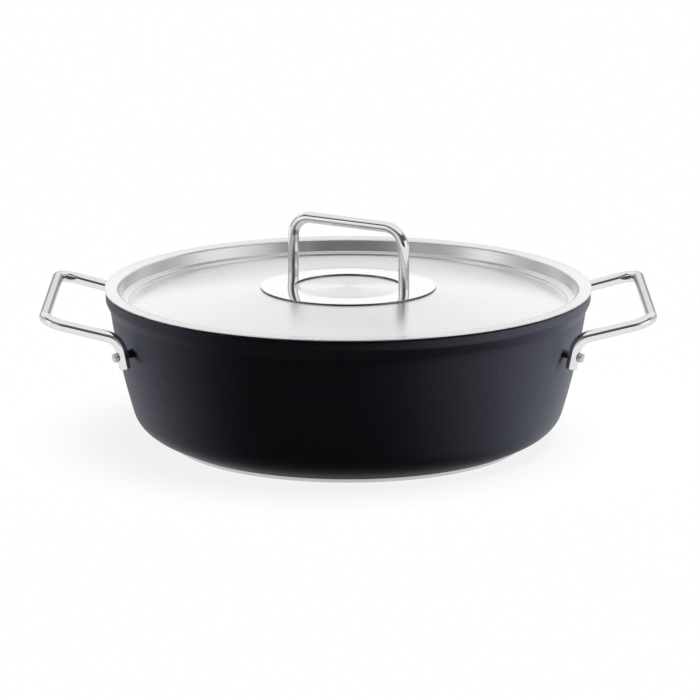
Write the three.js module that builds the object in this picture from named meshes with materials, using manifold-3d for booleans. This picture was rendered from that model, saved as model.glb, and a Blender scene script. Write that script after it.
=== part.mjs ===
// A low, wide cooking pot with two loop handles and a loose recessed lid.
// Millimetres, +Z up. The origin is the middle of the base, on the surface that the pot stands on.
// The side handles lie along X.

import * as THREE from 'three';
import { mergeVertices } from 'three/addons/utils/BufferGeometryUtils.js';
import Module from 'manifold-3d';

const wasm = await Module();
wasm.setup();

// Pot body, cast in one piece
const potHeight = 94;
const mouthRadius = 141;
const rimThickness = 6;
const rimBand = 6;
const rimSlope = 6;
const rimOverhang = 2.8;
const rimEdge = 0.9;
const wallThickness = 4;
const wallTaper = 13.4;
const wallBulge = 1.2;
const cornerHeight = 17.5;
const cornerFlat = 8;
const cornerSlope = 0.48;
const floorThickness = 6.5;
const innerCornerHeight = 15;

// Base disc, pressed onto the underside of the body
const discRadius = 108.5;
const discThickness = 2.5;
const discEdge = 0.6;
const discMargin = 1.5;

// Side handles, a bent round bar with two feet that lie along the wall
const barDiameter = 6.8;
const handleReach = 33.2;
const handleDrop = 6.1;
const gripSpan = 135;
const gripBend = 13;
const footSpan = 129;
const footDrop = 17.7;
const footLength = 18;
const footBend = 11.4;

// Bosses, cast on the wall, each with a groove for a foot
const bossHeight = 3.5;
const bossRadius = 2.6;
const bossFlare = 0.6;
const bossGroove = 0.4;

// Rivets, one through each foot
const rivetFromFootEnd = 7.8;
const rivetShank = 1.3;
const rivetHead = 2.7;
const rivetHeadHeight = 2.4;
const rivetInnerHead = 5;
const rivetInnerHeight = 1.6;
const rivetCrown = 0.7;

// Lid, pressed from sheet
const lidSheet = 1.2;
const lidOverhang = 0.5;
const lidEdge = 0.4;
const lidPlay = 0.6;
const lidBend = 0.9;
const recessDepth = 8;
const recessDraft = 1.5;
const ledgeWidth = 4.4;
const ledgeDrop = 0.4;
const stepDrop = 1.7;
const stepRun = 0.3;
const domeRise = 8.9;
const crownRise = 0.6;

// Ring on the lid, which carries the lid handle
const ringRadius = 53.5;
const ringHole = 32.5;
const ringThickness = 1;
const ringSeatMargin = 2;

// Lid handle, a U-shaped bar that stands on the ring
const lidBarDiameter = 6.6;
const lidHandleHeight = 42.4;
const lidLegInset = 7.2;
const lidLegSplay = 0.3;
const lidHandleBend = 12.5;
const lidHandleTurn = -32.4;

// Screws and washers under the lid
const screwShank = 1.5;
const screwGrip = 8;
const screwHead = 3;
const screwHeadHeight = 2;
const washerRadius = 6;
const washerThickness = 1;

// Clearances between pieces
const fitGap = 0.3;

// Fineness of the round pieces
const roundSides = 64;
const smallSides = 16;
const barSides = 10;
const curveSteps = 3;
const wallSteps = 4;
const sideHandleSteps = 56;
const lidHandleSteps = 46;

// Places that follow from the sizes above
const rimRadius = mouthRadius + rimThickness;
const wallTopRadius = rimRadius - rimOverhang;
const wallTopHeight = potHeight - rimBand - rimSlope;
const wallFootRadius = wallTopRadius - wallTaper;
const wallFootHeight = discThickness + cornerHeight;
const undersideRadius = discRadius + discMargin;
const floorHeight = discThickness + floorThickness;
const gripX = rimRadius + handleReach;
const gripHeight = potHeight - handleDrop;
const footCornerHeight = potHeight - footDrop;
const footEndHeight = footCornerHeight - footLength;
const footStandoff = bossHeight + barDiameter / 2;
const rivetHeight = footEndHeight + rivetFromFootEnd;
const lidRadius = rimRadius + lidOverhang;
const flangeTop = potHeight + lidSheet;
const recessRadius = mouthRadius - lidPlay - lidSheet;
const ledgeHeight = flangeTop - recessDepth;
const stepHeight = ledgeHeight - ledgeDrop - stepDrop;
const ringSeat = stepHeight + domeRise;
const ringTop = ringSeat + ringThickness;
const lidLegRadius = ringHole + lidLegInset;
const lidHandleAngle = THREE.MathUtils.degToRad(lidHandleTurn);

// A point of a turned profile: distance from the axis, and height
function at(radius, height) {
  return new THREE.Vector2(radius, height);
}

// A closed solid from a three.js geometry, with shared vertices and no empty triangles
function solidOf(geometry) {
  geometry.deleteAttribute('normal');
  geometry.deleteAttribute('uv');
  const merged = mergeVertices(geometry);
  const corners = merged.index.array;
  const triVerts = [];
  for (let i = 0; i < corners.length; i += 3) {
    const [a, b, c] = corners.slice(i, i + 3);
    if (a !== b && b !== c && c !== a) triVerts.push(a, b, c);
  }
  const vertProperties = merged.attributes.position.array;
  return new wasm.Manifold(new wasm.Mesh({
    numProp: 3,
    vertProperties: Float32Array.from(vertProperties),
    triVerts: Uint32Array.from(triVerts),
  }));
}

// The three.js geometry of a solid
function geometryOf(solid) {
  const { vertProperties, triVerts } = solid.getMesh();
  const geometry = new THREE.BufferGeometry();
  geometry.setAttribute('position', new THREE.BufferAttribute(vertProperties, 3));
  geometry.setIndex(new THREE.BufferAttribute(triVerts, 1));
  geometry.computeVertexNormals();
  return geometry;
}

// A geometry turned about Z from a profile that runs up the outside
function turnedGeometry(profile, sides) {
  const geometry = new THREE.LatheGeometry(profile, sides);
  geometry.rotateX(Math.PI / 2);
  return geometry;
}

function turned(profile, sides = roundSides) {
  return solidOf(turnedGeometry(profile, sides));
}

// An upright cylinder that cuts a hole from one height to another
function holeGeometry(radius, fromHeight, toHeight) {
  const profile = [at(0, fromHeight), at(radius, fromHeight), at(radius, toHeight), at(0, toHeight)];
  return turnedGeometry(profile, smallSides);
}

// A smooth run of profile points between two points, drawn towards a knee
function curvePoints(start, knee, end, steps = curveSteps) {
  return new THREE.QuadraticBezierCurve(start, knee, end).getPoints(steps);
}

// An outline moved sideways by a distance, to the right of its direction
function offsetOutline(points, distance) {
  const normals = points.slice(1).map((point, i) => {
    const along = point.clone().sub(points[i]).normalize();
    return at(along.y, -along.x);
  });
  return points.map((point, i) => {
    const before = normals[Math.max(i - 1, 0)];
    const after = normals[Math.min(i, normals.length - 1)];
    const middle = before.clone().add(after).normalize();
    return point.clone().addScaledVector(middle, distance / middle.dot(after));
  });
}

// A bar's centre line: straight runs between corners, with a bend at each inner corner
function barPath(corners, bends) {
  const path = new THREE.CurvePath();
  let from = corners[0];
  bends.forEach((bend, i) => {
    const corner = corners[i + 1];
    const back = corners[i].clone().sub(corner).normalize();
    const on = corners[i + 2].clone().sub(corner).normalize();
    const turn = Math.PI - back.angleTo(on);
    const reach = bend * Math.tan(turn / 2);
    const start = corner.clone().addScaledVector(back, reach);
    const end = corner.clone().addScaledVector(on, reach);
    path.add(new THREE.LineCurve3(from, start));
    path.add(new THREE.QuadraticBezierCurve3(start, corner, end));
    from = end;
  });
  path.add(new THREE.LineCurve3(from, corners[corners.length - 1]));
  return path;
}

// A solid round bar along a path
function bar(path, diameter, steps) {
  const section = new THREE.Shape();
  section.absarc(0, 0, diameter / 2, 0, 2 * Math.PI);
  const options = { steps, curveSegments: barSides / 2, extrudePath: path, bevelEnabled: false };
  return solidOf(new THREE.ExtrudeGeometry(section, options));
}

// The outside of the wall: a gentle outward curve from its foot to the slope under the rim
function wallRadius(height) {
  const share = (height - wallFootHeight) / (wallTopHeight - wallFootHeight);
  const straight = THREE.MathUtils.lerp(wallFootRadius, wallTopRadius, share);
  return straight + 4 * wallBulge * share * (1 - share);
}

// How fast the wall widens with height
function wallSlope(height) {
  const share = (height - wallFootHeight) / (wallTopHeight - wallFootHeight);
  return (wallTaper + 4 * wallBulge * (1 - 2 * share)) / (wallTopHeight - wallFootHeight);
}

function wallPoints(fromHeight, toHeight, offset) {
  return Array.from({ length: wallSteps + 1 }, (_, i) => {
    const height = THREE.MathUtils.lerp(fromHeight, toHeight, i / wallSteps);
    return at(wallRadius(height) + offset, height);
  });
}

// The outside of the body from the underside to the top of the rim
function outerOutline() {
  const cornerStart = at(undersideRadius + cornerFlat, discThickness + cornerFlat * cornerSlope);
  const footSlope = wallSlope(wallFootHeight);
  const sloped = wallFootRadius - footSlope * (wallFootHeight - cornerStart.y) - cornerStart.x;
  const kneeRun = sloped / (1 - footSlope * cornerSlope);
  const knee = at(cornerStart.x + kneeRun, cornerStart.y + kneeRun * cornerSlope);
  const corner = curvePoints(cornerStart, knee, at(wallFootRadius, wallFootHeight));
  return [
    at(undersideRadius, discThickness),
    ...corner.slice(0, -1),
    ...wallPoints(wallFootHeight, wallTopHeight, 0),
    at(rimRadius, potHeight - rimBand),
    at(rimRadius, potHeight - rimEdge),
    at(rimRadius - rimEdge, potHeight),
  ];
}

// The inside of the body from the top of the rim to the floor
function innerOutline() {
  const cornerTop = floorHeight + innerCornerHeight;
  const cornerEnd = at(wallRadius(cornerTop) - wallThickness, cornerTop);
  const knee = at(cornerEnd.x - wallSlope(cornerTop) * innerCornerHeight, floorHeight);
  return [
    at(mouthRadius + rimEdge, potHeight),
    at(mouthRadius, potHeight - rimEdge),
    at(mouthRadius, potHeight - rimBand),
    ...wallPoints(wallTopHeight, cornerTop, -wallThickness),
    ...curvePoints(cornerEnd, knee, at(undersideRadius, floorHeight)).slice(1),
  ];
}

// Where the centre line of a foot passes a height, beside the wall
function footPoint(side, height) {
  const y = side * footSpan / 2;
  const radius = wallRadius(height) + footStandoff;
  return new THREE.Vector3(Math.sqrt(radius * radius - y * y), y, height);
}

// The seat of the rivet of one foot: a point on the wall and the way out of it
function rivetPlace(side) {
  const onBar = footPoint(side, rivetHeight);
  const lean = Math.atan(wallSlope(rivetHeight));
  const round = Math.atan2(onBar.y, onBar.x);
  const level = Math.cos(lean);
  const out = new THREE.Vector3(level * Math.cos(round), level * Math.sin(round), -Math.sin(lean));
  const origin = onBar.clone().addScaledVector(out, -footStandoff * level);
  const along = new THREE.Vector3(-Math.sin(round), Math.cos(round), 0);
  const basis = new THREE.Matrix4().makeBasis(along, out.clone().cross(along), out);
  const quaternion = new THREE.Quaternion().setFromRotationMatrix(basis);
  const boss = footStandoff * level - barDiameter / 2;
  return { origin, quaternion, wall: wallThickness * level, boss, foot: boss + barDiameter };
}

// A geometry turned about the rivet's axis, moved to the rivet's place
function atRivet(geometry, { origin, quaternion }) {
  geometry.applyQuaternion(quaternion);
  geometry.translate(origin.x, origin.y, origin.z);
  return solidOf(geometry);
}

// The hole for a rivet, through the foot, the boss and the wall
function rivetHole(side) {
  const place = rivetPlace(side);
  return atRivet(holeGeometry(rivetShank + fitGap, -2 * place.wall, 2 * place.foot), place);
}

// A boss that flares out of the wall and carries a foot at its rivet
function footBoss(side) {
  const place = rivetPlace(side);
  const top = place.boss + bossGroove;
  const root = -place.wall / 2;
  const flareRadius = bossRadius + bossFlare;
  const flareFoot = -(flareRadius ** 2) / (2 * wallRadius(rivetHeight));
  const flare = curvePoints(at(flareRadius, flareFoot), at(bossRadius, flareFoot), at(bossRadius, top));
  const profile = [at(0, root), at(flareRadius, root), ...flare, at(0, top)];
  return atRivet(turnedGeometry(profile, smallSides), place);
}

// The centre line of the handle on the +X side
function sideHandlePath() {
  const gripCorner = (side) => new THREE.Vector3(gripX, side * gripSpan / 2, gripHeight);
  const corners = [
    footPoint(-1, footEndHeight),
    footPoint(-1, footCornerHeight),
    gripCorner(-1),
    gripCorner(1),
    footPoint(1, footCornerHeight),
    footPoint(1, footEndHeight),
  ];
  return barPath(corners, [footBend, gripBend, gripBend, footBend]);
}

// The same thing half a turn round the pot
function halfTurn(solid) {
  return solid.rotate([0, 0, 180]);
}

function potBody() {
  let solid = turned([at(0, discThickness), ...outerOutline(), ...innerOutline(), at(0, floorHeight)]);
  const groove = bar(sideHandlePath(), barDiameter + 2 * fitGap, sideHandleSteps);
  for (const side of [-1, 1]) {
    const boss = footBoss(side).subtract(groove);
    const hole = rivetHole(side);
    solid = solid.add(boss).add(halfTurn(boss));
    solid = solid.subtract(hole).subtract(halfTurn(hole));
  }
  return solid;
}

function baseDisc() {
  return turned([
    at(0, 0),
    at(discRadius - discEdge, 0),
    at(discRadius, discEdge),
    at(discRadius, discThickness),
    at(0, discThickness),
  ]);
}

// The handle on the +X side
function sideHandle() {
  const solid = bar(sideHandlePath(), barDiameter, sideHandleSteps);
  return solid.subtract(rivetHole(-1)).subtract(rivetHole(1));
}

// A rivet about its own axis: height 0 is the outside of the wall, the pot's inside is below
function rivet(side) {
  const { wall, foot } = rivetPlace(side);
  const inner = -wall - fitGap;
  const outer = foot + fitGap;
  const innerEnd = inner - rivetInnerHeight;
  const outerEnd = outer + rivetHeadHeight;
  return turned([
    at(0, innerEnd),
    at(rivetInnerHead - rivetCrown, innerEnd),
    at(rivetInnerHead, innerEnd + rivetCrown),
    at(rivetInnerHead, inner),
    at(rivetShank, inner),
    at(rivetShank, outer),
    at(rivetHead, outer),
    at(rivetHead, outerEnd - rivetCrown),
    at(rivetHead - rivetCrown, outerEnd),
    at(0, outerEnd),
  ], smallSides);
}

// The lid's upper side from the middle of the flange to the axis
function lidOutline() {
  const bend = lidSheet + lidBend;
  const wallFoot = recessRadius - recessDraft;
  const ledgeEnd = wallFoot - ledgeWidth;
  const domeEdge = at(ledgeEnd - stepRun, stepHeight);
  const seatEdge = at(ringRadius + ringSeatMargin, ringSeat);
  const seatEnd = at(ringHole - ringSeatMargin, ringSeat);
  const crown = ringSeat + crownRise;
  const lean = recessDraft / recessDepth;
  const bendEnd = at(recessRadius - lean * bend, flangeTop - bend);
  return [
    at((lidRadius + mouthRadius) / 2, flangeTop),
    ...curvePoints(at(recessRadius + bend, flangeTop), at(recessRadius, flangeTop), bendEnd),
    at(wallFoot, ledgeHeight),
    at(ledgeEnd, ledgeHeight - ledgeDrop),
    ...curvePoints(domeEdge, at((domeEdge.x + seatEdge.x) / 2, ringSeat), seatEdge, wallSteps),
    ...curvePoints(seatEnd, at(seatEnd.x / 2, crown), at(0, crown)),
  ];
}

// Where the legs of the lid handle stand, in the lid's frame
function lidLegPlaces() {
  return [-1, 1].map((side) => {
    const radius = side * lidLegRadius;
    return at(radius * Math.cos(lidHandleAngle), radius * Math.sin(lidHandleAngle));
  });
}

function drilledForScrews(solid, fromHeight, toHeight) {
  return lidLegPlaces().reduce((drilled, place) => {
    const hole = holeGeometry(screwShank + fitGap, fromHeight, toHeight);
    hole.translate(place.x, place.y, 0);
    return drilled.subtract(solidOf(hole));
  }, solid);
}

function lidShell() {
  const top = lidOutline();
  const under = offsetOutline(top, -lidSheet);
  under[under.length - 1].x = 0;
  const solid = turned([
    ...under.reverse(),
    at(lidRadius, potHeight),
    at(lidRadius, flangeTop - lidEdge),
    at(lidRadius - lidEdge, flangeTop),
    ...top,
  ]);
  return drilledForScrews(solid, ringSeat - 2 * lidSheet, ringTop);
}

function lidRing() {
  const solid = turned([
    at(ringHole, ringSeat),
    at(ringRadius, ringSeat),
    at(ringRadius, ringTop),
    at(ringHole, ringTop),
    at(ringHole, ringSeat),
  ]);
  return drilledForScrews(solid, ringSeat - ringThickness, ringTop + ringThickness);
}

// The lid handle in its own plane, with its legs cut level with the top of the ring and drilled
function lidHandle() {
  const barHeight = ringTop + lidHandleHeight - lidBarDiameter / 2;
  const shoulder = lidLegRadius - lidLegSplay;
  const lean = lidLegSplay / (barHeight - ringTop);
  const below = ringTop - lidBarDiameter;
  const footX = lidLegRadius + lean * lidBarDiameter;
  const corners = [
    new THREE.Vector3(-footX, 0, below),
    new THREE.Vector3(-shoulder, 0, barHeight),
    new THREE.Vector3(shoulder, 0, barHeight),
    new THREE.Vector3(footX, 0, below),
  ];
  const path = barPath(corners, [lidHandleBend, lidHandleBend]);
  let solid = bar(path, lidBarDiameter, lidHandleSteps);
  const waste = new THREE.BoxGeometry(4 * lidLegRadius, 4 * lidBarDiameter, 4 * lidBarDiameter);
  waste.translate(0, 0, ringTop - 2 * lidBarDiameter);
  solid = solid.subtract(solidOf(waste));
  for (const side of [-1, 1]) {
    const hole = holeGeometry(screwShank + fitGap, ringTop - lidBarDiameter, ringTop + screwGrip + fitGap);
    hole.translate(side * lidLegRadius, 0, 0);
    solid = solid.subtract(solidOf(hole));
  }
  return solid;
}

function lidWasher() {
  const top = ringSeat - lidSheet;
  const under = top - washerThickness;
  const hole = screwShank + fitGap;
  return turned([
    at(hole, under),
    at(washerRadius, under),
    at(washerRadius, top),
    at(hole, top),
    at(hole, under),
  ], smallSides);
}

function lidScrew() {
  const headTop = ringSeat - lidSheet - washerThickness;
  const headFoot = headTop - screwHeadHeight;
  const headEdge = screwHeadHeight / 3;
  const end = ringTop + screwGrip;
  return turned([
    at(0, headFoot),
    at(screwHead - headEdge, headFoot),
    at(screwHead, headFoot + headEdge),
    at(screwHead, headTop),
    at(screwShank, headTop),
    at(screwShank, end),
    at(0, end),
  ], smallSides);
}

// Finishes
const coatedCasting = new THREE.MeshStandardMaterial({ color: 0x1b1b20, roughness: 0.45, metalness: 0.2 });
const baseSteel = new THREE.MeshStandardMaterial({ color: 0x9a9a9c, roughness: 0.4, metalness: 1 });
const polishedSteel = new THREE.MeshStandardMaterial({ color: 0xd8d8da, roughness: 0.08, metalness: 1 });
const satinSteel = new THREE.MeshStandardMaterial({ color: 0xcfcfd1, roughness: 0.35, metalness: 1 });
const rivetMetal = new THREE.MeshStandardMaterial({ color: 0xa8a8aa, roughness: 0.35, metalness: 1 });

function piece(name, solid, material) {
  const mesh = new THREE.Mesh(geometryOf(solid), material.clone());
  mesh.name = name;
  return mesh;
}

const cookingPot = new THREE.Group();
cookingPot.add(piece('pot_body', potBody(), coatedCasting));
cookingPot.add(piece('base_disc', baseDisc(), baseSteel));

// The handles and their rivets are the same on both sides, half a turn apart
for (const [sideName, turn] of [['right', 0], ['left', Math.PI]]) {
  const handleSide = new THREE.Group();
  handleSide.rotation.z = turn;
  handleSide.add(piece(`handle_${sideName}`, sideHandle(), polishedSteel));
  const ends = sideName === 'right' ? [['front', -1], ['rear', 1]] : [['front', 1], ['rear', -1]];
  for (const [endName, side] of ends) {
    const mesh = piece(`handle_rivet_${sideName}_${endName}`, rivet(side), rivetMetal);
    const { origin, quaternion } = rivetPlace(side);
    mesh.position.copy(origin);
    mesh.quaternion.copy(quaternion);
    handleSide.add(mesh);
  }
  cookingPot.add(handleSide);
}

// The lid lifts off as one
const lid = new THREE.Group();
lid.add(piece('lid_shell', lidShell(), satinSteel));
lid.add(piece('lid_ring', lidRing(), polishedSteel));
const lidGrip = new THREE.Group();
lidGrip.rotation.z = lidHandleAngle;
lidGrip.add(piece('lid_handle', lidHandle(), polishedSteel));
for (const [name, side] of [['left', -1], ['right', 1]]) {
  const washer = piece(`lid_washer_${name}`, lidWasher(), baseSteel);
  const screw = piece(`lid_screw_${name}`, lidScrew(), baseSteel);
  washer.position.x = side * lidLegRadius;
  screw.position.x = side * lidLegRadius;
  lidGrip.add(washer, screw);
}
lid.add(lidGrip);
cookingPot.add(lid);

export default cookingPot;
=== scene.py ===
# A low, wide cooking pot with two bar handles and a loose steel lid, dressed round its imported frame.
# Metres, +Z up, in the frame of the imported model. The pieces follow in the order they are put together.

import math

import bpy
from mathutils import Matrix, Vector


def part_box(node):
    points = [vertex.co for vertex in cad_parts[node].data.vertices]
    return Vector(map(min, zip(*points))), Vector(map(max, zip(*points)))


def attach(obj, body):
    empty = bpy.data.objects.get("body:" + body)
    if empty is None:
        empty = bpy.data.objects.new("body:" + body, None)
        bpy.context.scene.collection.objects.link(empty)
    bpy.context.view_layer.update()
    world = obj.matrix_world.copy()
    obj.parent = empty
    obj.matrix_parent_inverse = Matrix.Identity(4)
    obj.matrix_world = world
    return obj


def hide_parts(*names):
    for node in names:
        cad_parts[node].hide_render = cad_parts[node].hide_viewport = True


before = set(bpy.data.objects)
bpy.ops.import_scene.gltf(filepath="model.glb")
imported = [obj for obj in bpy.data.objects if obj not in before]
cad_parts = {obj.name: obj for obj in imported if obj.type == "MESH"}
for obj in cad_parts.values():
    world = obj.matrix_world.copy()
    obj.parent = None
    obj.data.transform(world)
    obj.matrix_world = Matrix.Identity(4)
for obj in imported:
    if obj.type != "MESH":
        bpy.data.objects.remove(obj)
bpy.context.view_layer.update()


# Base disc
# A plain steel disc that is pressed onto the underside of the casting, so that the pot works on any hob.
# Its edge shows as a thin bright line, and its underside has the fine rings that a lathe leaves.

def rounded_outline(corners, steps=6):
    """The points through corners (radius, height, fillet), with an arc at each corner that has a fillet."""
    outline = []
    for i, (radius, height, fillet) in enumerate(corners):
        corner = Vector((radius, height))
        if fillet == 0:
            outline.append(corner)
            continue
        back = (Vector(corners[i - 1][:2]) - corner).normalized()
        on = (Vector(corners[i + 1][:2]) - corner).normalized()
        half = back.angle(on) / 2
        centre = corner + (back + on).normalized() * fillet / math.sin(half)
        start = corner + back * fillet / math.tan(half) - centre
        end = corner + on * fillet / math.tan(half) - centre
        turn = -start.angle_signed(end)
        for step in range(steps + 1):
            outline.append(centre + Matrix.Rotation(turn * step / steps, 2) @ start)
    return outline


def turned_piece(name, outline, sides, form="solid"):
    """A round piece, drawn out ring by ring from its outline's first point to its last.
    A solid starts from a disc and ends in one, and a ring comes back to its start."""
    bpy.ops.object.select_all(action="DESELECT")
    radius, height = outline[0]
    fill = "NGON" if form == "solid" else "NOTHING"
    bpy.ops.mesh.primitive_circle_add(vertices=sides, radius=radius, fill_type=fill, location=(0, 0, height))
    piece = bpy.context.object
    piece.name = name
    piece.data.name = name
    bpy.ops.object.transform_apply(location=True)
    bpy.ops.object.mode_set(mode="EDIT")
    bpy.ops.mesh.select_all(action="SELECT")
    for next_radius, next_height in outline[1:]:
        rise = (0, 0, next_height - height)
        bpy.ops.mesh.extrude_region_move(TRANSFORM_OT_translate={"value": rise})
        growth = next_radius / radius
        bpy.ops.transform.resize(value=(growth, growth, 1), center_override=(0, 0, 0))
        radius, height = next_radius, next_height
    bpy.ops.mesh.select_all(action="SELECT")
    if form == "ring":
        bpy.ops.mesh.remove_doubles(threshold=1e-6)
    bpy.ops.mesh.normals_make_consistent(inside=False)
    bpy.ops.object.mode_set(mode="OBJECT")
    return piece


def pick(piece):
    """Makes a piece the one that the next operator works on."""
    bpy.ops.object.select_all(action="DESELECT")
    piece.select_set(True)
    bpy.context.view_layer.objects.active = piece


def smooth_shaded(piece, degrees=35):
    """Soft shading over the curves of a piece, with its real edges kept sharp."""
    pick(piece)
    bpy.ops.object.shade_smooth_by_angle(angle=math.radians(degrees))


def dressed(piece, finish, slot, body, *nodes):
    """The piece gets its finish, rides on a body and stands for the nodes it replaces."""
    piece.data.materials.clear()
    piece.data.materials.append(finish)
    smooth_shaded(piece)
    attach(piece, body)
    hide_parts(*nodes)


def new_finish(name):
    """A new material with its nodes, its links and its main shader."""
    finish = bpy.data.materials.new(name)
    finish.use_nodes = True
    tree = finish.node_tree
    return finish, tree.nodes, tree.links, tree.nodes["Principled BSDF"]


def new_metal(name, colour):
    """A new bare metal of a colour, with its nodes, its links and its main shader."""
    finish, nodes, links, shader = new_finish(name)
    shader.inputs["Base Color"].default_value = colour
    shader.inputs["Metallic"].default_value = 1
    return finish, nodes, links, shader


def axis_distance(nodes, links):
    """The output that gives how far a point is from the pot's axis."""
    place = nodes.new("ShaderNodeTexCoord")
    level = nodes.new("ShaderNodeVectorMath")
    level.operation = "MULTIPLY"
    level.inputs[1].default_value = (1, 1, 0)
    distance = nodes.new("ShaderNodeVectorMath")
    distance.operation = "LENGTH"
    links.new(place.outputs["Object"], level.inputs[0])
    links.new(level.outputs["Vector"], distance.inputs[0])
    return distance.outputs["Value"]


def ring_grain(nodes, links, rings_per_metre):
    """Fine uneven rings round the axis, as turning or brushing on a lathe leaves them: 0 to 1."""
    count = nodes.new("ShaderNodeMath")
    count.operation = "MULTIPLY"
    count.inputs[1].default_value = rings_per_metre
    grain = nodes.new("ShaderNodeTexNoise")
    grain.noise_dimensions = "1D"
    grain.inputs["Scale"].default_value = 1
    grain.inputs["Detail"].default_value = 4
    links.new(axis_distance(nodes, links), count.inputs[0])
    links.new(count.outputs["Value"], grain.inputs["W"])
    return grain.outputs["Fac"]


def grained(nodes, links, shader, grain, low, high, depth, strength):
    """Spreads a 0 to 1 grain over a range of roughness, and makes a relief of it, of a depth in metres."""
    roughness = nodes.new("ShaderNodeMapRange")
    roughness.inputs["To Min"].default_value = low
    roughness.inputs["To Max"].default_value = high
    links.new(grain, roughness.inputs["Value"])
    links.new(roughness.outputs["Result"], shader.inputs["Roughness"])
    bump = nodes.new("ShaderNodeBump")
    bump.inputs["Strength"].default_value = strength
    bump.inputs["Distance"].default_value = depth
    links.new(grain, bump.inputs["Height"])
    links.new(bump.outputs["Normal"], shader.inputs["Normal"])


disc_low, disc_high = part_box("base_disc")
disc_radius = disc_high.y
disc_edge = 0.0006
disc_seat_edge = 0.0002
cap_share = 0.9
round_sides = 256
disc_corners = [
    (disc_radius * cap_share, disc_low.z, 0),
    (disc_radius, disc_low.z, disc_edge),
    (disc_radius, disc_high.z, disc_seat_edge),
    (disc_radius * cap_share, disc_high.z, 0),
]
base_disc = turned_piece("base_disc_turned", rounded_outline(disc_corners), round_sides)

turned_steel, nodes, links, shader = new_metal("turned_steel", (0.62, 0.62, 0.63, 1))
lathe_rings = ring_grain(nodes, links, rings_per_metre=2500)
grained(nodes, links, shader, lathe_rings, low=0.25, high=0.45, depth=0.00003, strength=0.3)
dressed(base_disc, turned_steel, "base_steel", "pot", "base_disc")


# Pot body
# One aluminium casting with a thick rim, relieved so that the lid bears on its inner half, a tapered wall, a
# round foot and four small bosses for the handles' feet. A black non-stick coat with fine specks covers it.

body_low, body_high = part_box("pot_body")
rim_radius = body_high.y
rim_height = body_high.z
rim_thickness = 0.006
rim_band = 0.006
rim_slope = 0.006
rim_overhang = 0.0028
rim_edge = 0.0009
rim_fillet = 0.0035
under_rim_fillet = 0.006
mouth_fillet = 0.002
rim_relief = 0.0009
rim_relief_width = 0.003
relief_edge = 0.0003
wall_thickness = 0.004
wall_taper = 0.0134
wall_bulge = 0.0012
wall_steps = 14
corner_height = 0.0175
corner_flat = 0.008
corner_slope = 0.48
underside_fillet = 0.004
corner_steps = 12
floor_thickness = 0.0065
inner_corner_height = 0.015
disc_margin = 0.0015
underside_radius = disc_radius + disc_margin
mouth_radius = rim_radius - rim_thickness
wall_top_radius = rim_radius - rim_overhang
wall_top_height = rim_height - rim_band - rim_slope
wall_foot_radius = wall_top_radius - wall_taper
wall_foot_height = body_low.z + corner_height
wall_rise = wall_top_height - wall_foot_height
floor_height = body_low.z + floor_thickness


def wall_radius(height):
    """The outside of the wall: a gentle outward curve from its foot to the slope under the rim."""
    share = (height - wall_foot_height) / wall_rise
    return wall_foot_radius + wall_taper * share + 4 * wall_bulge * share * (1 - share)


def wall_slope(height):
    """How fast the wall widens with height."""
    share = (height - wall_foot_height) / wall_rise
    return (wall_taper + 4 * wall_bulge * (1 - 2 * share)) / wall_rise


def bend_points(start, knee, end, steps):
    """A smooth run of points between two points, drawn towards a knee."""
    shares = [step / steps for step in range(steps + 1)]
    return [start * (1 - t) ** 2 + knee * 2 * t * (1 - t) + end * t ** 2 for t in shares]


def plain(points):
    """Points as corners with no fillet."""
    return [(point[0], point[1], 0) for point in points]


def wall_points(from_height, to_height, offset):
    """A run of points along the wall between two heights, moved out of it by an offset."""
    heights = [from_height + (to_height - from_height) * step / wall_steps for step in range(wall_steps + 1)]
    return [Vector((wall_radius(height) + offset, height)) for height in heights]


foot_slope = wall_slope(wall_foot_height)
corner_start = Vector((underside_radius + corner_flat, body_low.z + corner_flat * corner_slope))
knee_run = wall_foot_radius - foot_slope * (wall_foot_height - corner_start.y) - corner_start.x
knee_run /= 1 - foot_slope * corner_slope
corner_knee = corner_start + Vector((knee_run, knee_run * corner_slope))
corner_end = Vector((wall_foot_radius, wall_foot_height))
inner_top = floor_height + inner_corner_height
inner_end = Vector((wall_radius(inner_top) - wall_thickness, inner_top))
inner_knee = Vector((inner_end.x - wall_slope(inner_top) * inner_corner_height, floor_height))
floor_edge = Vector((underside_radius, floor_height))
body_corners = [
    (underside_radius * cap_share, body_low.z, 0),
    (underside_radius, body_low.z, underside_fillet),
    *plain(bend_points(corner_start, corner_knee, corner_end, corner_steps)),
    *plain(wall_points(wall_foot_height, wall_top_height, 0)[1:-1]),
    (wall_top_radius, wall_top_height, under_rim_fillet),
    (rim_radius, rim_height - rim_band, rim_fillet),
    (rim_radius, rim_height - rim_relief, relief_edge),
    (rim_radius - rim_relief_width, rim_height - rim_relief, relief_edge),
    (rim_radius - rim_relief_width, rim_height, relief_edge),
    (mouth_radius, rim_height, rim_edge),
    (mouth_radius, rim_height - rim_band, mouth_fillet),
    *plain(wall_points(wall_top_height, inner_top, -wall_thickness)),
    *plain(bend_points(inner_end, inner_knee, floor_edge, corner_steps)[1:]),
]
pot_body = turned_piece("pot_body_cast", rounded_outline(body_corners), round_sides)

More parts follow.
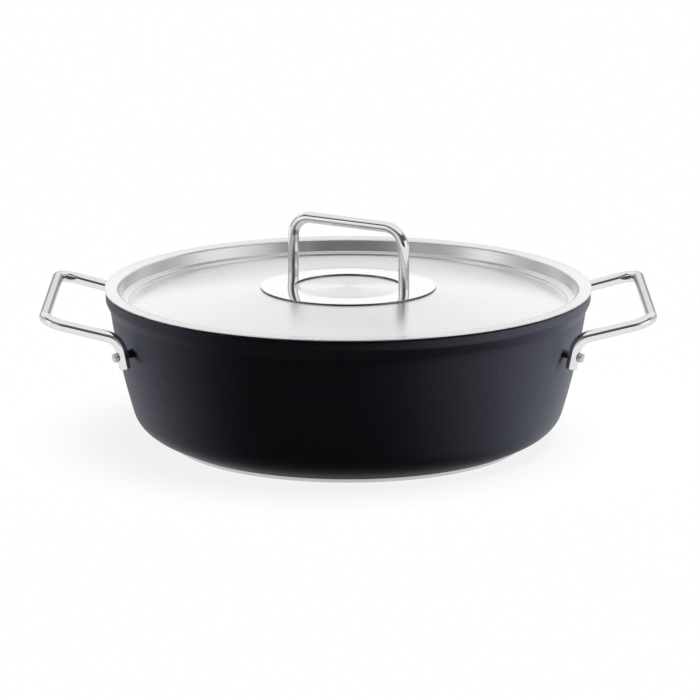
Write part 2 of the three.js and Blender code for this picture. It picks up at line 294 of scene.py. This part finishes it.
bar_radius = 0.0034
handle_reach = 0.0332
handle_drop = 0.0061
grip_span = 0.135
grip_bend = 0.013
foot_span = 0.129
foot_drop = 0.0177
foot_length = 0.018
foot_bend = 0.0114
boss_height = 0.0035
boss_radius = 0.0026
boss_flare = 0.0006
boss_groove = 0.0004
boss_ease = 0.0005
boss_straight = 0.0006
boss_flat = 0.0013
boss_steps = 10
boss_sides = 48
bar_sides = 40
bend_steps = 14
hole_sides = 24
groove_gap = 0.0001
rivet_from_foot_end = 0.0078
rivet_shank = 0.0013
hole_gap = 0.0002
grip_x = rim_radius + handle_reach
grip_height = rim_height - handle_drop
foot_corner_height = rim_height - foot_drop
foot_end_height = foot_corner_height - foot_length
foot_standoff = boss_height + bar_radius
rivet_height = foot_end_height + rivet_from_foot_end


def foot_point(side, height):
    """Where the middle of a foot passes a height, beside the wall, on the +X side."""
    y = side * foot_span / 2
    radius = wall_radius(height) + foot_standoff
    return Vector((math.sqrt(radius ** 2 - y ** 2), y, height))


def rivet_place(side):
    """The frame of a foot's rivet on the +X side: round the wall, up it and out of it, from a point on it."""
    on_bar = foot_point(side, rivet_height)
    lean = math.atan(wall_slope(rivet_height))
    around = math.atan2(on_bar.y, on_bar.x)
    level = math.cos(lean)
    out = Vector((level * math.cos(around), level * math.sin(around), -math.sin(lean)))
    along = Vector((-math.sin(around), math.cos(around), 0))
    up = out.cross(along)
    origin = on_bar - out * foot_standoff * level
    frame_axes = Matrix((along, up, out)).transposed().to_4x4()
    return Matrix.Translation(origin) @ frame_axes


def bent_bar(name, corners, bends, radius):
    """A round bar with straight runs between its corners and an arc of a given bend at each inner corner."""
    facing = (corners[1] - corners[0]).to_track_quat("Z", "Y").to_euler()
    bpy.ops.object.select_all(action="DESELECT")
    bpy.ops.mesh.primitive_circle_add(vertices=bar_sides, radius=radius, location=corners[0], rotation=facing)
    piece = bpy.context.object
    piece.name = name
    piece.data.name = name
    bpy.ops.object.transform_apply(location=True, rotation=True)
    bpy.ops.object.mode_set(mode="EDIT")
    bpy.ops.mesh.select_mode(type="EDGE")
    bpy.ops.mesh.select_all(action="SELECT")
    place = corners[0]
    for i, bend in enumerate(bends):
        corner = corners[i + 1]
        back = (corners[i] - corner).normalized()
        on = (corners[i + 2] - corner).normalized()
        half = back.angle(on) / 2
        reach = bend / math.tan(half)
        run = corner + back * reach - place
        bpy.ops.mesh.extrude_region_move(TRANSFORM_OT_translate={"value": run})
        # The spin operator turns against its axis
        centre = corner + (back + on).normalized() * bend / math.sin(half)
        axis = back.cross(on)
        bpy.ops.mesh.spin(steps=bend_steps, angle=math.pi - 2 * half, center=centre, axis=axis)
        place = corner + on * reach
    bpy.ops.mesh.extrude_region_move(TRANSFORM_OT_translate={"value": corners[-1] - place})
    bpy.ops.mesh.edge_face_add()
    bpy.ops.mesh.select_all(action="DESELECT")
    bpy.ops.mesh.select_non_manifold()
    bpy.ops.mesh.edge_face_add()
    bpy.ops.mesh.select_all(action="SELECT")
    bpy.ops.mesh.normals_make_consistent(inside=False)
    bpy.ops.object.mode_set(mode="OBJECT")
    return piece


def side_handle_bar(name, radius):
    """The bar of the handle on the +X side: a foot, a leg, the grip, a leg and a foot."""
    corners = [
        foot_point(-1, foot_end_height),
        foot_point(-1, foot_corner_height),
        Vector((grip_x, -grip_span / 2, grip_height)),
        Vector((grip_x, grip_span / 2, grip_height)),
        foot_point(1, foot_corner_height),
        foot_point(1, foot_end_height),
    ]
    return bent_bar(name, corners, [foot_bend, grip_bend, grip_bend, foot_bend], radius)


def placed(piece, place):
    """The piece moved to a place, with the move kept in its mesh."""
    pick(piece)
    piece.matrix_world = place
    bpy.ops.object.transform_apply(location=True, rotation=True, scale=True)
    return piece


def combined(piece, tool, operation):
    """The piece joined with a tool shape or cut by it."""
    step = piece.modifiers.new("combined", "BOOLEAN")
    step.operation = operation
    step.solver = "EXACT"
    step.object = tool
    pick(piece)
    bpy.ops.object.modifier_apply(modifier=step.name)
    bpy.data.objects.remove(tool)


flare_radius = boss_radius + boss_flare
flare_foot = -(flare_radius ** 2) / (2 * wall_radius(rivet_height))
boss_top = boss_height + boss_groove
boss_corners = [
    (flare_radius, -wall_thickness / 2, 0),
    *plain(bend_points(
        Vector((flare_radius, flare_foot)),
        Vector((boss_radius, flare_foot)),
        Vector((boss_radius, boss_top - boss_straight)),
        boss_steps,
    )),
    (boss_radius, boss_top, boss_ease),
    (boss_flat, boss_top, 0),
]
hole_radius = rivet_shank + hole_gap
hole_ends = [(hole_radius, -2 * wall_thickness), (hole_radius, 4 * boss_top)]
half_turn = Matrix.Rotation(math.pi, 4, "Z")
for turn in (Matrix.Identity(4), half_turn):
    groove = placed(side_handle_bar("groove", bar_radius + groove_gap), turn)
    for side in (-1, 1):
        boss = turned_piece("boss", rounded_outline(boss_corners), boss_sides)
        placed(boss, turn @ rivet_place(side))
        groove_tool = groove.copy()
        groove_tool.data = groove.data.copy()
        bpy.context.scene.collection.objects.link(groove_tool)
        combined(boss, groove_tool, "DIFFERENCE")
        combined(pot_body, boss, "UNION")
        hole = placed(turned_piece("hole", hole_ends, hole_sides), turn @ rivet_place(side))
        combined(pot_body, hole, "DIFFERENCE")
    bpy.data.objects.remove(groove)


def noise_grain(nodes, links, scale, detail):
    """A cloudy grain, the same all over a surface: 0 to 1."""
    place = nodes.new("ShaderNodeTexCoord")
    grain = nodes.new("ShaderNodeTexNoise")
    grain.inputs["Scale"].default_value = scale
    grain.inputs["Detail"].default_value = detail
    links.new(place.outputs["Object"], grain.inputs["Vector"])
    return grain.outputs["Fac"]


def past(nodes, links, source, none_at, full_at, ease="LINEAR"):
    """How far an output lies past a soft edge: 0 to 1."""
    share = nodes.new("ShaderNodeMapRange")
    share.interpolation_type = ease
    share.inputs["From Min"].default_value = none_at
    share.inputs["From Max"].default_value = full_at
    links.new(source, share.inputs["Value"])
    return share.outputs["Result"]


def joined_shares(nodes, links, operation, share, other_share):
    """Two shares joined by an operation: their product, or the larger one."""
    joined = nodes.new("ShaderNodeMath")
    joined.operation = operation
    links.new(share, joined.inputs[0])
    links.new(other_share, joined.inputs[1])
    return joined.outputs["Value"]


def two_tone(nodes, links, shader, share, colour, other_colour):
    """The shader's colour, turned over a share of the surface to another colour."""
    mix = nodes.new("ShaderNodeMix")
    mix.data_type = "RGBA"
    mix.inputs["A"].default_value = colour
    mix.inputs["B"].default_value = other_colour
    links.new(share, mix.inputs["Factor"])
    links.new(mix.outputs["Result"], shader.inputs["Base Color"])


coat_black = (0.042, 0.043, 0.056, 1)
speck_grey = (0.077, 0.078, 0.092, 1)
speckled_coat, nodes, links, shader = new_finish("speckled_coat")
place = nodes.new("ShaderNodeTexCoord")
speck_cells = nodes.new("ShaderNodeTexVoronoi")
speck_cells.inputs["Scale"].default_value = 620
links.new(place.outputs["Object"], speck_cells.inputs["Vector"])
speck_chance = nodes.new("ShaderNodeSeparateColor")
links.new(speck_cells.outputs["Color"], speck_chance.inputs["Color"])
in_speck = past(nodes, links, speck_cells.outputs["Distance"], none_at=0.34, full_at=0.22)
speck_shown = past(nodes, links, speck_chance.outputs["Red"], none_at=0.6, full_at=0.95)
specks = joined_shares(nodes, links, "MULTIPLY", in_speck, speck_shown)
two_tone(nodes, links, shader, specks, coat_black, speck_grey)
orange_peel = noise_grain(nodes, links, scale=420, detail=5)
grained(nodes, links, shader, orange_peel, low=0.34, high=0.5, depth=0.00006, strength=0.5)
shader.inputs["Specular IOR Level"].default_value = 0.025
shader.inputs["Specular Tint"].default_value = (0.86, 0.92, 1, 1)
shader.inputs["Sheen Weight"].default_value = 0.12
shader.inputs["Sheen Roughness"].default_value = 0.4
shader.inputs["Sheen Tint"].default_value = (0.8, 0.86, 1, 1)
dressed(pot_body, speckled_coat, "coated_casting", "pot", "pot_body")


# Side handles
# Two lengths of round stainless bar, bent cold into a loop with two feet that lie down along the wall.
# The bar is polished to a mirror, its ends are cut square and eased, and each foot is drilled for a rivet.

bar_end_ease = 0.0006
spot_radius = 0.0029
spot_depth = 0.0005
small_sides = 40

right_handle = side_handle_bar("handle_right_bar", bar_radius)
bpy.ops.object.mode_set(mode="EDIT")
bpy.ops.mesh.select_mode(type="FACE")
bpy.ops.mesh.select_all(action="DESELECT")
bpy.ops.mesh.select_face_by_sides(number=bar_sides, type="EQUAL")
bpy.ops.mesh.region_to_loop()
bpy.ops.mesh.bevel(offset=bar_end_ease, segments=4, affect="EDGES")
bpy.ops.object.mode_set(mode="OBJECT")
spot_floor = boss_height + 2 * bar_radius - spot_depth
foot_hole_ends = [(hole_radius, 0), (hole_radius, 4 * boss_top)]
spot_ends = [(spot_radius, spot_floor), (spot_radius, spot_floor + bar_radius)]
for side in (-1, 1):
    for ends, sides in ((foot_hole_ends, hole_sides), (spot_ends, small_sides)):
        cutter = placed(turned_piece("cutter", ends, sides), rivet_place(side))
        combined(right_handle, cutter, "DIFFERENCE")

pick(right_handle)
bpy.ops.object.duplicate()
left_handle = bpy.context.object
left_handle.name = "handle_left_bar"
left_handle.data.name = "handle_left_bar"
placed(left_handle, half_turn)


def polished_finish(name, colour, edge_shade):
    """Mirror polished stainless steel with the faint cloudy haze and hair lines that a buffing wheel leaves.
    The edge shade is how much of the light it mirrors where it turns away from view."""
    finish, nodes, links, shader = new_metal(name, colour)
    shader.inputs["Specular Tint"].default_value = (edge_shade, edge_shade, edge_shade, 1)
    haze = noise_grain(nodes, links, scale=90, detail=6)
    grained(nodes, links, shader, haze, low=0.02, high=0.08, depth=0.00002, strength=0.15)
    return finish, nodes, links, shader


polished_bar = polished_finish("polished_bar", (0.77, 0.77, 0.775, 1), edge_shade=0.74)[0]
dressed(right_handle, polished_bar, "handle_steel", "pot", "handle_right")
dressed(left_handle, polished_bar, "handle_steel", "pot", "handle_left")


# Handle rivets
# One solid aluminium rivet through each foot, its boss and the wall. The outer head is a short drum with an
# eased edge that sits in a flat on the bar, and the inner head is a wide low button inside the pot.

rivet_head = 0.0027
rivet_head_height = 0.0024
rivet_head_ease = 0.0006
rivet_flat = 0.000945
rivet_crown = 0.00015
inner_head = 0.005
inner_head_height = 0.0016
inner_flat = 0.002
inner_shoulder = 0.004
inner_shoulder_drop = 0.00008
inner_shoulder_fillet = 0.002
inner_brim = 0.00064
inner_brim_fillet = 0.0006
fine_edge = 0.0001
head_gap = 0.0001

inner_face = -wall_thickness * math.cos(math.atan(wall_slope(rivet_height))) - head_gap
inner_head_top = inner_face - inner_head_height
outer_top = spot_floor + spot_depth + rivet_head_height
rivet_corners = [
    (inner_flat, inner_head_top, 0),
    (inner_shoulder, inner_head_top + inner_shoulder_drop, inner_shoulder_fillet),
    (inner_head, inner_face - inner_brim, inner_brim_fillet),
    (inner_head, inner_face, fine_edge),
    (rivet_shank, inner_face, 0),
    (rivet_shank, spot_floor + head_gap, 0),
    (rivet_head, spot_floor + head_gap, fine_edge),
    (rivet_head, outer_top, rivet_head_ease),
    (rivet_flat, outer_top + rivet_crown, 0),
]

rivet_aluminium, nodes, links, shader = new_metal("rivet_aluminium", (0.6, 0.6, 0.61, 1))
press_marks = noise_grain(nodes, links, scale=1400, detail=4)
grained(nodes, links, shader, press_marks, low=0.28, high=0.5, depth=0.00003, strength=0.4)

for side_name, turn, ends in (
    ("right", Matrix.Identity(4), (("front", -1), ("rear", 1))),
    ("left", half_turn, (("front", 1), ("rear", -1))),
):
    for end_name, side in ends:
        node = f"handle_rivet_{side_name}_{end_name}"
        rivet = turned_piece(node + "_set", rounded_outline(rivet_corners), small_sides)
        placed(rivet, turn @ rivet_place(side))
        dressed(rivet, rivet_aluminium, "rivet_metal", "pot", node)


# Lid shell
# One disc of stainless sheet, pressed to a flat flange that lies on the rim, a recess wall, a narrow ledge
# and a low dome, with a level seat for the ring. Its top is brushed to a satin on a turntable. The lower half
# of its cut edge is painted near black: painted shade for the gap over the rim, drawn as a fine dark line.

shell_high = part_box("lid_shell")[1]
lid_sheet = 0.0012
lid_radius = shell_high.y
flange_top = rim_height + lid_sheet
lid_edge = 0.0003
lid_gap_shade_height = 0.0006
lid_edge_depth = 0.00015
lid_edge_soft = 0.00006
lid_play = 0.0006
lid_bend = 0.0021
recess_depth = 0.008
recess_draft = 0.0015
ledge_width = 0.0044
ledge_drop = 0.0004
step_drop = 0.0017
step_run = 0.0003
press_fillet = 0.00035
crown_rise = 0.0006
crown_hub = 0.001
crown_steps = 10
dome_steps = 24
ring_low, ring_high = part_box("lid_ring")
ring_radius = ring_high.y
ring_hole = 0.0325
ring_seat = ring_low.z
ring_seat_margin = 0.002
lid_leg_inset = 0.0072
lid_leg_radius = ring_hole + lid_leg_inset
lid_handle_degrees = -32.4
lid_handle_turn = Matrix.Rotation(math.radians(lid_handle_degrees), 4, "Z")
leg_places = {
    "left": lid_handle_turn @ Matrix.Translation((-lid_leg_radius, 0, 0)),
    "right": lid_handle_turn @ Matrix.Translation((lid_leg_radius, 0, 0)),
}
screw_hole = 0.0017
recess_radius = mouth_radius - lid_play - lid_sheet
recess_foot = recess_radius - recess_draft
ledge_height = flange_top - recess_depth
ledge_end = recess_foot - ledge_width
step_height = ledge_height - ledge_drop - step_drop
dome_edge = Vector((ledge_end - step_run, step_height))
seat_edge = Vector((ring_radius + ring_seat_margin, ring_seat))
dome_knee = Vector(((dome_edge.x + seat_edge.x) / 2, ring_seat))
crown_edge = Vector((ring_hole - ring_seat_margin, ring_seat))
crown_height = ring_seat + crown_rise
crown_knee = Vector((crown_edge.x / 2, crown_height))
crown_end = Vector((crown_hub, crown_height))


def sheet_underside(corners, thickness):
    """The corners of a pressed sheet's other side, to the left of its run, with fillets to match."""
    points = [Vector(corner[:2]) for corner in corners]
    runs = [(point - before).normalized() for before, point in zip(points, points[1:])]
    under = []
    for i, (radius, height, fillet) in enumerate(corners):
        before = runs[max(i - 1, 0)]
        after = runs[min(i, len(runs) - 1)]
        square = (before + after).normalized().orthogonal()
        reach = thickness / square.dot(before.orthogonal())
        if fillet > 0:
            inside_bend = before.cross(after) > 0
            fillet = max(fillet - thickness, thickness / 6) if inside_bend else fillet + thickness
        under.append((radius + square.x * reach, height + square.y * reach, fillet))
    return under


lid_top = [
    (lid_radius - lid_sheet, flange_top, 0),
    (recess_radius, flange_top, lid_bend),
    (recess_foot, ledge_height, press_fillet),
    (ledge_end, ledge_height - ledge_drop, press_fillet),
    (dome_edge.x, dome_edge.y, press_fillet),
    *plain(bend_points(dome_edge, dome_knee, seat_edge, dome_steps)[2:]),
    *plain(bend_points(crown_edge, crown_knee, crown_end, crown_steps)),
]
lid_corners = [
    *reversed(sheet_underside(lid_top, lid_sheet)),
    (lid_radius, rim_height, lid_edge),
    (lid_radius, flange_top, lid_edge),
    *lid_top,
]
lid_shell = turned_piece("lid_shell_pressed", rounded_outline(lid_corners), round_sides)


def drilled(piece, place, from_height, to_height):
    """The piece with a hole for a lid screw at a leg's place, between two heights."""
    hole = turned_piece("hole", [(screw_hole, from_height), (screw_hole, to_height)], hole_sides)
    combined(piece, placed(hole, place), "DIFFERENCE")


for leg_place in leg_places.values():
    drilled(lid_shell, leg_place, ring_seat - 3 * lid_sheet, ring_seat + 3 * lid_sheet)

satin = (0.76, 0.76, 0.765, 1)
# Painted shade: near black on the lower half of the cut edge, for the shadow in the gap over the rim.
lid_gap_shade = (0.05, 0.05, 0.05, 1)
satin_steel, nodes, links, shader = new_metal("satin_steel", satin)
place = nodes.new("ShaderNodeTexCoord")
place_parts = nodes.new("ShaderNodeSeparateXYZ")
links.new(place.outputs["Object"], place_parts.inputs["Vector"])
from_axis = axis_distance(nodes, links)
# The painted shade's band: the outer sliver of the cut edge, from the rim up to a little above it.
edge_from = lid_radius - lid_edge_depth
lid_gap_shade_top = rim_height + lid_gap_shade_height
on_edge = past(nodes, links, from_axis, edge_from, edge_from + lid_edge_soft)
below_top = past(nodes, links, place_parts.outputs["Z"], lid_gap_shade_top, lid_gap_shade_top - lid_edge_soft)
lid_gap_shade_mask = joined_shares(nodes, links, "MULTIPLY", on_edge, below_top)
two_tone(nodes, links, shader, lid_gap_shade_mask, satin, lid_gap_shade)
brush_lines = ring_grain(nodes, links, rings_per_metre=4000)
grained(nodes, links, shader, brush_lines, low=0.19, high=0.29, depth=0.00001, strength=0.2)
brush_way = nodes.new("ShaderNodeTangent")
brush_way.direction_type = "RADIAL"
brush_way.axis = "Z"
links.new(brush_way.outputs["Tangent"], shader.inputs["Tangent"])
shader.inputs["Anisotropic"].default_value = 0.9
shader.inputs["Anisotropic Rotation"].default_value = 0.25
dressed(lid_shell, satin_steel, "lid_steel", "lid", "lid_shell")


# Lid ring
# A flat stainless washer, mirror polished, that lies on the lid's seat and spreads the load of the handle.
# Its stamped edges lean in a little and are painted dark grey, a painted shade for the gaps at its edges that
# draws a fine dark line round it.

ring_draft = 0.00027
ring_edge_soft = 0.000027
ring_sides = 192
ring_middle = (ring_radius + ring_hole) / 2
ring_outer_polish = ring_radius - ring_draft
ring_inner_polish = ring_hole + ring_draft
ring_corners = [
    (ring_middle, ring_seat, 0),
    (ring_radius, ring_seat, fine_edge),
    (ring_outer_polish, ring_high.z, fine_edge),
    (ring_inner_polish, ring_high.z, fine_edge),
    (ring_hole, ring_seat, fine_edge),
    (ring_middle, ring_seat, 0),
]
lid_ring = turned_piece("lid_ring_polished", rounded_outline(ring_corners), ring_sides, "ring")
for leg_place in leg_places.values():
    drilled(lid_ring, leg_place, ring_seat - ring_seat_margin, ring_high.z + ring_seat_margin)

ring_polish = (0.8, 0.8, 0.805, 1)
# Painted shade: dark grey on the ring's stamped edges, for the shadow in the gaps where it meets the lid.
ring_gap_shade = (0.12, 0.12, 0.12, 1)
polished_ring, nodes, links, shader = polished_finish("polished_ring", ring_polish, edge_shade=1.0)
# The painted shade's mask: a thin band at the ring's outer and inner edges.
from_axis = axis_distance(nodes, links)
outer_edge = past(nodes, links, from_axis, ring_outer_polish, ring_outer_polish + ring_edge_soft)
inner_edge = past(nodes, links, from_axis, ring_inner_polish, ring_inner_polish - ring_edge_soft)
ring_gap_shade_mask = joined_shares(nodes, links, "MAXIMUM", outer_edge, inner_edge)
two_tone(nodes, links, shader, ring_gap_shade_mask, ring_polish, ring_gap_shade)
dressed(lid_ring, polished_ring, "ring_steel", "lid", "lid_ring")


# Lid handle
# A length of the same polished bar, bent to a flat U that stands on the ring. Its legs are cut level with
# the ring, and are drilled and tapped from below.

handle_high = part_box("lid_handle")[1]
lid_bar_radius = 0.0033
lid_leg_splay = 0.0003
lid_handle_bend = 0.0125
screw_grip = 0.008
ring_top = ring_high.z
lid_bar_height = handle_high.z - lid_bar_radius
leg_lean = lid_leg_splay / (lid_bar_height - ring_top)
leg_below = ring_top - lid_bar_radius
leg_foot = lid_leg_radius + leg_lean * lid_bar_radius
shoulder = lid_leg_radius - lid_leg_splay
lid_handle_corners = [
    Vector((-leg_foot, 0, leg_below)),
    Vector((-shoulder, 0, lid_bar_height)),
    Vector((shoulder, 0, lid_bar_height)),
    Vector((leg_foot, 0, leg_below)),
]
lid_handle = bent_bar("lid_handle_bar", lid_handle_corners, [lid_handle_bend] * 2, lid_bar_radius)
bpy.ops.object.mode_set(mode="EDIT")
bpy.ops.mesh.select_all(action="SELECT")
bpy.ops.mesh.bisect(plane_co=(0, 0, ring_top), plane_no=(0, 0, 1), use_fill=True, clear_inner=True)
bpy.ops.object.mode_set(mode="OBJECT")
placed(lid_handle, lid_handle_turn)
for leg_place in leg_places.values():
    drilled(lid_handle, leg_place, ring_top - lid_bar_radius, ring_top + screw_grip + hole_gap)
dressed(lid_handle, polished_bar, "handle_steel", "lid", "lid_handle")


# Lid washers
# Two plain steel washers under the lid, one below each leg, that keep the thin sheet from pulling through.

washer_radius = 0.006
washer_thickness = 0.001
washer_edge = 0.00015
washer_sides = 64
washer_top = ring_seat - lid_sheet
washer_under = washer_top - washer_thickness
washer_middle = (washer_radius + screw_hole) / 2
washer_corners = [
    (washer_middle, washer_under, 0),
    (washer_radius, washer_under, washer_edge),
    (washer_radius, washer_top, washer_edge),
    (screw_hole, washer_top, washer_edge),
    (screw_hole, washer_under, washer_edge),
    (washer_middle, washer_under, 0),
]

fixing_steel, nodes, links, shader = new_metal("fixing_steel", (0.6, 0.6, 0.61, 1))
plating = noise_grain(nodes, links, scale=700, detail=5)
grained(nodes, links, shader, plating, low=0.22, high=0.42, depth=0.00002, strength=0.3)

for side_name, leg_place in leg_places.items():
    washer_name = f"lid_washer_{side_name}_flat"
    washer = turned_piece(washer_name, rounded_outline(washer_corners), washer_sides, "ring")
    placed(washer, leg_place)
    dressed(washer, fixing_steel, "fixing_steel", "lid", f"lid_washer_{side_name}")


# Lid screws
# One pan-head machine screw up through each washer into a leg, with a hexagon socket in its head.

screw_shank = screw_hole - hole_gap
screw_head = 0.003
screw_head_height = 0.002
screw_head_ease = 0.0008
screw_flat = 0.0015
screw_tip = 0.00105
screw_tip_length = 0.0005
socket_radius = 0.0014
socket_depth = 0.0011
socket_sides = 6
head_under = washer_under - screw_head_height
screw_corners = [
    (screw_flat, head_under, 0),
    (screw_head, head_under, screw_head_ease),
    (screw_head, washer_under, fine_edge),
    (screw_shank, washer_under, 0),
    (screw_shank, ring_top + screw_grip - screw_tip_length, 0),
    (screw_tip, ring_top + screw_grip, 0),
]
for side_name, leg_place in leg_places.items():
    screw = turned_piece(f"lid_screw_{side_name}_pan", rounded_outline(screw_corners), small_sides)
    socket_ends = [(socket_radius, head_under - socket_depth), (socket_radius, head_under + socket_depth)]
    combined(screw, turned_piece("socket", socket_ends, socket_sides), "DIFFERENCE")
    placed(screw, leg_place)
    dressed(screw, fixing_steel, "fixing_steel", "lid", f"lid_screw_{side_name}")


# Studio
# A white floor in a wide surround that the steel mirrors: white overhead, bright behind and to both sides,
# grey along the horizon behind and dark by the camera. The surround gives no diffuse light: two side lamps
# light the coat alone, one overhead lights the floor too, and only the body and the lid stand in their way.

floor_size = 12
floor_own_white = 0.87
floor_white = (0.96, 0.96, 0.96, 1)
bounce_grey = (0.08, 0.08, 0.08, 1)
bpy.ops.object.select_all(action="DESELECT")
bpy.ops.mesh.primitive_plane_add(size=floor_size, location=(0, 0, 0))
floor = bpy.context.object
floor.name = "studio_floor"
floor_paint, nodes, links, shader = new_finish("floor_paint")
shader.inputs["Base Color"].default_value = floor_white
shader.inputs["Roughness"].default_value = 0.9
shader.inputs["Specular IOR Level"].default_value = 0
own_white = nodes.new("ShaderNodeEmission")
own_white.inputs["Color"].default_value = (1, 1, 1, 1)
own_white.inputs["Strength"].default_value = 1
white_floor = nodes.new("ShaderNodeMixShader")
white_floor.inputs["Fac"].default_value = floor_own_white
links.new(shader.outputs["BSDF"], white_floor.inputs[1])
links.new(own_white.outputs["Emission"], white_floor.inputs[2])
dim_floor = nodes.new("ShaderNodeBsdfDiffuse")
dim_floor.inputs["Color"].default_value = bounce_grey
ray_kind = nodes.new("ShaderNodeLightPath")
is_camera = ray_kind.outputs["Is Camera Ray"]
is_glossy = ray_kind.outputs["Is Glossy Ray"]
is_through = ray_kind.outputs["Is Transmission Ray"]
seen_or_mirrored = joined_shares(nodes, links, "MAXIMUM", is_camera, is_glossy)
white_shown = joined_shares(nodes, links, "MAXIMUM", seen_or_mirrored, is_through)
floor_mix = nodes.new("ShaderNodeMixShader")
links.new(white_shown, floor_mix.inputs["Fac"])
links.new(dim_floor.outputs["BSDF"], floor_mix.inputs[1])
links.new(white_floor.outputs["Shader"], floor_mix.inputs[2])
links.new(floor_mix.outputs["Shader"], nodes["Material Output"].inputs["Surface"])
floor.data.materials.append(floor_paint)

surround = bpy.data.worlds.new("studio_surround")
bpy.context.scene.world = surround
surround.use_nodes = True
surround.cycles_visibility.diffuse = False
nodes = surround.node_tree.nodes
links = surround.node_tree.links
direction = nodes.new("ShaderNodeTexCoord")
direction_parts = nodes.new("ShaderNodeSeparateXYZ")
links.new(direction.outputs["Generated"], direction_parts.inputs["Vector"])


def direction_share(axis, none_at, full_at):
    """How far a direction of the surround lies past a soft edge along an axis: 0 to 1."""
    return past(nodes, links, direction_parts.outputs[axis], none_at, full_at, "SMOOTHSTEP")


def front_to_back(*stops):
    """A run of greys from the front of the surround to its back, through stops (place along Y, grey)."""
    place = nodes.new("ShaderNodeMapRange")
    place.inputs["From Min"].default_value = -1
    place.inputs["From Max"].default_value = 1
    links.new(direction_parts.outputs["Y"], place.inputs["Value"])
    run = nodes.new("ShaderNodeValToRGB")
    links.new(place.outputs["Result"], run.inputs["Fac"])
    greys = run.color_ramp.elements
    for y, grey in stops[1:-1]:
        greys.new((y + 1) / 2).color = (grey, grey, grey, 1)
    for end, (y, grey) in ((0, stops[0]), (-1, stops[-1])):
        greys[end].position = (y + 1) / 2
        greys[end].color = (grey, grey, grey, 1)
    return run.outputs["Color"]


def shaded(colour, share, shade):
    """The surround's colour so far, turned over a share of its directions to a grey or another colour."""
    mix = nodes.new("ShaderNodeMix")
    mix.data_type = "RGBA"
    links.new(colour, mix.inputs["A"])
    links.new(share, mix.inputs["Factor"])
    if isinstance(shade, float):
        mix.inputs["B"].default_value = (shade, shade, shade, 1)
    else:
        links.new(shade, mix.inputs["B"])
    return mix.outputs["Result"]


low_belt = front_to_back(
    (-1, 0.08),
    (-0.94, 0.08),
    (-0.85, 0.35),
    (-0.67, 1.05),
    (-0.44, 1.35),
    (-0.17, 1.25),
    (0.1, 0.7),
    (0.37, 0.52),
    (0.62, 0.65),
    (0.8, 1.1),
    (1, 1.15),
)
high_belt = front_to_back((-1, 0.1), (0.1, 0.14), (0.5, 1.1), (1, 1.15))
to_left = direction_share("X", -0.3, -0.6)
to_front = direction_share("Y", -0.25, -0.65)
to_back = direction_share("Y", 0.55, 0.75)
near_horizon = direction_share("Z", 0.2, 0.03)
left_front = joined_shares(nodes, links, "MULTIPLY", to_left, to_front)
back_horizon = joined_shares(nodes, links, "MULTIPLY", to_back, near_horizon)
surround_colour = shaded(low_belt, left_front, 0.6)
surround_colour = shaded(surround_colour, back_horizon, 0.3)
surround_colour = shaded(surround_colour, direction_share("Z", 0.33, 0.42), high_belt)
surround_colour = shaded(surround_colour, direction_share("Z", 0.66, 0.76), 1.0)
links.new(surround_colour, nodes["Background"].inputs["Color"])
nodes["Background"].inputs["Strength"].default_value = 1

coated = bpy.data.collections.new("coated")
coated.objects.link(pot_body)
shading = bpy.data.collections.new("shading")
shading.objects.link(pot_body)
shading.objects.link(lid_shell)
for lamp_name, energy, spread_angle, light_way, lit in (
    ("right_lamp", 8, 35, (-0.791, -0.168, -0.588), coated),
    ("left_lamp", 5.2, 30, (0.84, -0.525, -0.139), coated),
    ("top_lamp", 3.3, 40, (-0.21, 0, -0.978), None),
):
    lamp_light = bpy.data.lights.new(lamp_name, "SUN")
    lamp_light.energy = energy
    lamp_light.angle = math.radians(spread_angle)
    lamp = bpy.data.objects.new(lamp_name, lamp_light)
    lamp.rotation_euler = Vector(light_way).to_track_quat("-Z", "Y").to_euler()
    lamp.visible_glossy = False
    lamp.light_linking.receiver_collection = lit
    lamp.light_linking.blocker_collection = shading
    bpy.context.scene.collection.objects.link(lamp)


# Camera
# A long lens straight in front of the pot, a little above it, at the photograph's angle and frame.

aim = Vector((0.0011, 0, 0.0546))
camera_distance = 2.5
camera_elevation = math.radians(13.2)
lens = bpy.data.cameras.new("long_lens")
lens.sensor_width = 36
lens.lens = 211.2
camera = bpy.data.objects.new("camera", lens)
back_off = Vector((0, -math.cos(camera_elevation), math.sin(camera_elevation)))
camera.location = aim + back_off * camera_distance
camera.rotation_euler = (math.pi / 2 - camera_elevation, 0, 0)
bpy.context.scene.collection.objects.link(camera)
bpy.context.scene.camera = camera
bpy.context.scene.view_settings.view_transform = "Standard"
